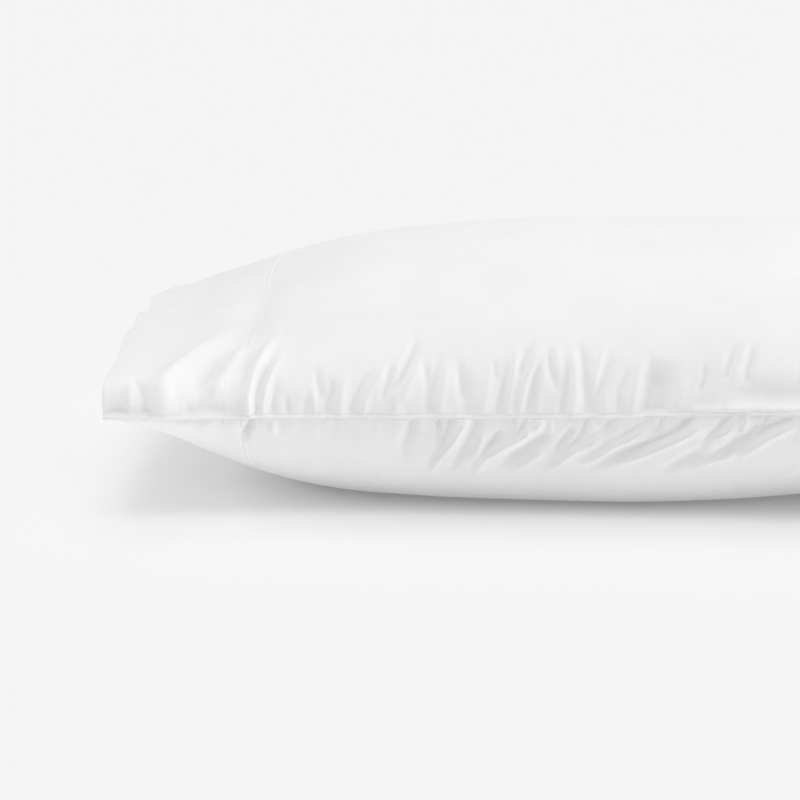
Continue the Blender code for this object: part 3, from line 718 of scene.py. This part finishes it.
def whole_surface():
    """Every row of the piece from the end seam over the hem's edge to the pillow's end,
    and the place of each of them along the flat cloth."""
    rows_out = outer_rows()
    start, stop, steps = CUFF_STRETCH
    rows_in = np.linspace(start, stop, steps + 1)
    skin = Skin(rows_out)
    outside = folded(skin)
    inside = lining(rows_in)
    edge = hem_edge(outside[0], inside[0])
    inner_end = pillow_end(inside[-1])
    rows = np.concatenate([outside[::-1], edge, inside, inner_end])
    bulge = np.linspace(0.0, 1.0, PILLOW_END_STEPS + 1)[1:]
    places = np.concatenate([rows_out[::-1], np.zeros(len(edge)), -rows_in,
                             -stop - PILLOW_BULGE * bulge])
    rows[..., 0] -= FILLED_LENGTH + EAR_LENGTHENING - cad_high.x
    rows[..., 2] += FLOOR_DEPTH
    return rows, places, skin


def new_mesh_object(name, mesh):
    """The mesh as an object of the scene."""
    made = bpy.data.objects.new(name, mesh)
    bpy.context.scene.collection.objects.link(made)
    return made


def make_cloth(rows, places, skin, material):
    """The bag as one closed surface.  Its UV map is the flat cloth, in metres."""
    count, around = rows.shape[0], rows.shape[1]
    run = np.where(skin.is_upper, skin.across, GIRTH - skin.across)[0]
    cloth = bmesh.new()
    uv_layer = cloth.loops.layers.uv.new(FLAT_CLOTH)
    verts = [[cloth.verts.new(point) for point in row] for row in rows]
    for row in range(count - 1):
        for column in range(around):
            beside = (column + 1) % around
            face = cloth.faces.new((verts[row][column], verts[row][beside],
                                    verts[row + 1][beside], verts[row + 1][column]))
            along = (places[row], places[row], places[row + 1], places[row + 1])
            last = run[beside] if beside else GIRTH
            round_bag = (run[column], last, last, run[column])
            for loop, u, v in zip(face.loops, along, round_bag):
                loop[uv_layer].uv = (u, v)
    bmesh.ops.remove_doubles(cloth, verts=cloth.verts, dist=WELD)
    bmesh.ops.recalc_face_normals(cloth, faces=cloth.faces)
    mesh = bpy.data.meshes.new("pillowcase_cloth")
    cloth.to_mesh(mesh)
    cloth.free()
    mesh.shade_smooth()
    mesh.materials.append(material)
    return new_mesh_object("pillowcase_cloth", mesh)


def row_at(rows, places, place):
    """The row of points at one place between the rows of a grid."""
    after = int(np.searchsorted(places, place))
    t = (place - places[after - 1]) / (places[after] - places[after - 1])
    return rows[after - 1] * (1 - t) + rows[after] * t


def stitch_lines(outside, skin):
    """The lines that are sewn: round the hem, and beside the side and end seams."""
    along, across = skin.along[:, 0], skin.across[0]
    hem = row_at(outside, along, HEM_STITCHES)
    far_seam = skin.over_count - 1
    order = [0, *range(len(across) - 1, far_seam, -1), far_seam]
    under, places = outside[:, order], across[order]
    sides = under[along < FILLED_LENGTH - SEAM_STITCHES].transpose(1, 0, 2)
    near = row_at(sides, places, SEAM_STITCHES)
    far = row_at(sides, places, CASE_WIDTH - SEAM_STITCHES)
    between = (places > SEAM_STITCHES) & (places < CASE_WIDTH - SEAM_STITCHES)
    from_end = under[::-1, between]
    steps = np.linalg.norm(np.diff(from_end, axis=0), axis=-1)
    run = np.concatenate([np.zeros((1, steps.shape[1])), np.cumsum(steps, axis=0)])
    end = [[np.interp(SEAM_STITCHES, run[:, column], from_end[:, column, axis])
            for axis in range(3)] for column in range(run.shape[1])]
    return np.concatenate([hem, hem[:1]]), near, np.array(end), far


def stitch_nodes():
    """Geometry nodes that lay a short thread at every pitch of a line."""
    tree = bpy.data.node_groups.new("stitches", "GeometryNodeTree")
    for name, kind in (("Geometry", "NodeSocketGeometry"), ("Pitch", "NodeSocketFloat"),
                       ("Stitch", "NodeSocketVector"), ("Least", "NodeSocketVector"),
                       ("Most", "NodeSocketVector"), ("Seed", "NodeSocketInt"),
                       ("Material", "NodeSocketMaterial")):
        tree.interface.new_socket(name, in_out="INPUT", socket_type=kind)
    tree.interface.new_socket("Geometry", in_out="OUTPUT", socket_type="NodeSocketGeometry")
    given = add_node(tree, "NodeGroupInput").outputs
    line = add_node(tree, "GeometryNodeMeshToCurve", inputs={"Mesh": given["Geometry"]})
    spaced = add_node(tree, "GeometryNodeResampleCurve", {"mode": "LENGTH"},
                      {"Curve": line.outputs["Curve"], "Length": given["Pitch"]})
    tangent = add_node(tree, "GeometryNodeInputTangent")
    turned = add_node(tree, "FunctionNodeAlignRotationToVector", {"axis": "Z"},
                      {"Vector": tangent.outputs["Tangent"]})
    thread = add_node(tree, "GeometryNodeMeshUVSphere",
                      inputs={"Segments": STITCH_SEGMENTS, "Rings": STITCH_RINGS, "Radius": 0.5})
    uneven = add_node(tree, "FunctionNodeRandomValue", {"data_type": "FLOAT_VECTOR"},
                      {"Min": given["Least"], "Max": given["Most"], "Seed": given["Seed"]})
    size = add_node(tree, "ShaderNodeVectorMath", {"operation": "MULTIPLY"},
                    {0: given["Stitch"], 1: uneven.outputs["Value"]})
    placed = add_node(tree, "GeometryNodeInstanceOnPoints",
                      inputs={"Points": spaced.outputs["Curve"], "Instance": thread.outputs["Mesh"],
                              "Rotation": turned.outputs["Rotation"],
                              "Scale": size.outputs["Vector"]})
    real = add_node(tree, "GeometryNodeRealizeInstances",
                    inputs={"Geometry": placed.outputs["Instances"]})
    soft = add_node(tree, "GeometryNodeSetShadeSmooth",
                    inputs={"Geometry": real.outputs["Geometry"]})
    sewn = add_node(tree, "GeometryNodeSetMaterial",
                    inputs={"Geometry": soft.outputs["Geometry"], "Material": given["Material"]})
    add_node(tree, "NodeGroupOutput", inputs={"Geometry": sewn.outputs["Geometry"]})
    return tree


def make_stitching(lines, material):
    """The sewing thread on all the lines, as one mesh."""
    mesh = bpy.data.meshes.new("pillowcase_stitching")
    starts = np.cumsum([0] + [len(line) for line in lines])
    edges = [(first + step, first + step + 1) for line, first in zip(lines, starts)
             for step in range(len(line) - 1)]
    mesh.from_pydata(np.concatenate(lines).tolist(), edges, [])
    made = new_mesh_object("pillowcase_stitching", mesh)
    sewing = made.modifiers.new("stitches", "NODES")
    sewing.node_group = stitch_nodes()
    values = {"Pitch": STITCH_PITCH, "Stitch": (THREAD, THREAD, STITCH_LENGTH),
              "Least": (1.0, 1.0, 1 - STITCH_SPREAD), "Most": (1.0, 1.0, 1 + STITCH_SPREAD),
              "Seed": STITCH_SEED, "Material": material}
    for socket in sewing.node_group.interface.items_tree:
        if socket.in_out == "INPUT" and socket.name in values:
            sewing[socket.identifier] = values[socket.name]
    sewn = bpy.data.meshes.new_from_object(
        made.evaluated_get(bpy.context.evaluated_depsgraph_get()))
    made.modifiers.remove(sewing)
    made.data = sewn
    return made


# ---- finishes -------------------------------------------------------------------
def linear(hex_colour):
    """An sRGB hex colour as the linear RGBA that Blender's sockets take."""
    parts = [int(hex_colour[i:i + 2], 16) / 255 for i in (1, 3, 5)]
    bright = [((c + 0.055) / 1.055) ** 2.4 if c > 0.04045 else c / 12.92 for c in parts]
    return (*bright, 1.0)


def add_node(tree, kind, settings=None, inputs=None):
    """Adds a node, sets its properties and fills or links its inputs."""
    node = tree.nodes.new(kind)
    for name, value in (settings or {}).items():
        setattr(node, name, value)
    for name, value in (inputs or {}).items():
        if isinstance(value, bpy.types.NodeSocket):
            tree.links.new(value, node.inputs[name])
        else:
            node.inputs[name].default_value = value
    return node


def new_material(name):
    """A new material, with its node tree and its shader."""
    material = bpy.data.materials.new(name)
    material.use_nodes = True
    return material, material.node_tree, material.node_tree.nodes["Principled BSDF"]


def combed_cotton():
    """White combed cotton, plain woven: matt with a faint sheen, fine threads, a few
    thicker ones and soft creases."""
    material, tree, shader = new_material("white combed cotton")
    place = add_node(tree, "ShaderNodeUVMap", {"uv_map": FLAT_CLOTH}).outputs["UV"]
    parts = add_node(tree, "ShaderNodeSeparateXYZ", inputs={"Vector": place})
    threads = []                        # a wave each way, over and under by turns
    for axis in ("X", "Y"):
        turn = add_node(tree, "ShaderNodeMath", {"operation": "MULTIPLY"},
                        {0: parts.outputs[axis], 1: math.pi / THREAD_PITCH})
        threads.append(add_node(tree, "ShaderNodeMath", {"operation": "SINE"},
                                {0: turn.outputs["Value"]}))
    weave = add_node(tree, "ShaderNodeMath", {"operation": "MULTIPLY"},
                     {index: wave.outputs["Value"] for index, wave in enumerate(threads)})
    grains = {}
    for name, along, across, detail in COTTON_GRAINS:
        scaled = add_node(tree, "ShaderNodeMapping", inputs={
            "Vector": place, "Scale": (1 / (along * MM), 1 / (across * MM), 1.0)})
        uneven = add_node(tree, "ShaderNodeTexNoise", {"noise_dimensions": "2D"}, {
            "Vector": scaled.outputs["Vector"], "Scale": 1.0, "Detail": detail})
        grains[name] = uneven.outputs["Fac"]
    slubs = add_node(tree, "ShaderNodeMath", {"operation": "ADD"},
                     {0: grains["warp"], 1: grains["weft"]})
    normal = None
    for height, distance in ((grains["creases"], CREASE_HEIGHT),
                             (slubs.outputs["Value"], SLUB_HEIGHT),
                             (weave.outputs["Value"], WEAVE_HEIGHT)):
        bump = add_node(tree, "ShaderNodeBump", inputs={"Distance": distance, "Height": height})
        if normal:
            tree.links.new(normal, bump.inputs["Normal"])
        normal = bump.outputs["Normal"]
    tree.links.new(normal, shader.inputs["Normal"])
    tones = add_node(tree, "ShaderNodeMath", {"operation": "MULTIPLY"},
                     {0: slubs.outputs["Value"], 1: grains["clouds"]})
    light, dark = COTTON_COLOURS
    colour = add_node(tree, "ShaderNodeMixRGB", inputs={
        "Fac": tones.outputs["Value"], "Color1": linear(light), "Color2": linear(dark)})
    tree.links.new(colour.outputs["Color"], shader.inputs["Base Color"])
    shader.inputs["Roughness"].default_value = 0.85
    shader.inputs["Specular IOR Level"].default_value = 0.25
    shader.inputs["Sheen Weight"].default_value = 0.12
    shader.inputs["Sheen Roughness"].default_value = 0.5
    return material


def sewing_thread():
    """White cotton sewing thread, a little whiter and smoother than the cloth."""
    material, tree, shader = new_material("white cotton sewing thread")
    place = add_node(tree, "ShaderNodeTexCoord").outputs["Object"]
    fibres = add_node(tree, "ShaderNodeTexNoise", {"noise_dimensions": "2D"},
                      {"Vector": place, "Scale": 1 / FIBRE_GRAIN, "Detail": 2.0})
    bump = add_node(tree, "ShaderNodeBump",
                    inputs={"Distance": FIBRE_HEIGHT, "Height": fibres.outputs["Fac"]})
    tree.links.new(bump.outputs["Normal"], shader.inputs["Normal"])
    light, dark = THREAD_COLOURS
    colour = add_node(tree, "ShaderNodeMixRGB", inputs={
        "Fac": fibres.outputs["Fac"], "Color1": linear(light), "Color2": linear(dark)})
    tree.links.new(colour.outputs["Color"], shader.inputs["Base Color"])
    shader.inputs["Roughness"].default_value = 0.6
    return material


def floor_paint():
    """Pale matt floor paint, quite without gloss."""
    material, _, shader = new_material("pale matt floor paint")
    shader.inputs["Base Color"].default_value = linear(FLOOR_COLOUR)
    shader.inputs["Roughness"].default_value = 1.0
    shader.inputs["Specular IOR Level"].default_value = 0.0
    return material


# ---- floor, light and view ------------------------------------------------------
def make_floor():
    """A floor wide enough to fill every view."""
    bpy.ops.mesh.primitive_plane_add(size=FLOOR_SIZE)
    floor = bpy.context.object
    floor.name = "floor"
    floor.data.materials.append(floor_paint())
    return floor


def direction(azimuth, elevation):
    """The way to something at these angles, in radians, as seen from the part."""
    return Vector((math.sin(azimuth) * math.cos(elevation),
                   -math.cos(azimuth) * math.cos(elevation), math.sin(elevation)))


def lit_only(name, pieces):
    """A collection of the pieces that a panel is kept to."""
    group = bpy.data.collections.new(name)
    for piece in pieces:
        group.objects.link(piece)
    return group


def make_lights(case, floor):
    """A pale room and soft panels: above, on four sides and low on the right, where it
    stands for the light that a pale table throws back.  That one and the right panel
    light the pillowcase alone, and one from the left lights the floor alone."""
    groups = {CASE: lit_only("lit case", case), FLOOR: lit_only("lit floor", [floor])}
    world = bpy.data.worlds.new("pale room")
    bpy.context.scene.world = world
    world.use_nodes = True
    tree = world.node_tree
    path = add_node(tree, "ShaderNodeLightPath")
    seen = add_node(tree, "ShaderNodeMix", inputs={"Factor": path.outputs["Is Camera Ray"],
                                                   "A": ROOM_LIGHT, "B": ROOM_SEEN})
    tree.links.new(seen.outputs["Result"], tree.nodes["Background"].inputs["Strength"])
    tree.nodes["Background"].inputs["Color"].default_value = (1.0, 1.0, 1.0, 1.0)
    for name, azimuth, elevation, spread, strength, lights in PANELS:
        lamp = bpy.data.lights.new(name, "SUN")
        lamp.energy = strength * math.pi    # a white face turned to it is this bright
        lamp.angle = math.radians(spread)
        made = bpy.data.objects.new(name, lamp)
        towards = direction(math.radians(azimuth), math.radians(elevation))
        made.rotation_euler = towards.to_track_quat("Z", "Y").to_euler()
        if lights in groups:
            made.light_linking.receiver_collection = groups[lights]
        if lights == CASE:                  # the floor doesn't stop it either
            made.light_linking.blocker_collection = groups[CASE]
        bpy.context.scene.collection.objects.link(made)


def view_axes():
    """The camera's back, right and up directions."""
    back = direction(CAMERA_AZIMUTH, CAMERA_ELEVATION)
    right = Vector((math.cos(CAMERA_AZIMUTH), math.sin(CAMERA_AZIMUTH), 0.0))
    return back, right, back.cross(right)


def make_camera(mouth_corner):
    """A camera that sees the mouth's near corner where the photo has it, at its scale."""
    back, right, up = view_axes()
    camera = bpy.data.cameras.new("camera")
    camera.sensor_width = SENSOR
    camera.lens = CAMERA_DISTANCE / PIXEL * SENSOR / PICTURE
    made = bpy.data.objects.new("camera", camera)
    bpy.context.scene.collection.objects.link(made)
    off_right = (MOUTH_CORNER_PIXEL[0] - PICTURE / 2) * PIXEL
    off_up = (PICTURE / 2 - MOUTH_CORNER_PIXEL[1]) * PIXEL
    made.location = mouth_corner + back * CAMERA_DISTANCE - right * off_right - up * off_up
    made.rotation_euler = Matrix((right, up, back)).transposed().to_euler()
    camera.clip_end = CAMERA_REACH
    bpy.context.scene.camera = made


# ---- the scene ------------------------------------------------------------------
surface, flat_places, bag = whole_surface()
cloth = make_cloth(surface, flat_places, bag, combed_cotton())
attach(cloth, "root")
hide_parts("pillowcase")

sewn_lines = stitch_lines(surface[:len(bag.along)][::-1], bag)
stitching = make_stitching(sewn_lines, sewing_thread())
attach(stitching, "root")

make_lights([cloth, stitching], make_floor())
near_half = float(half_widths(np.zeros(1))[0])
mouth_x = cad_high.x - FILLED_LENGTH - EAR_LENGTHENING
make_camera(Vector((mouth_x, -near_half, FLOOR_DEPTH)))
bpy.context.scene.view_settings.view_transform = "Standard"
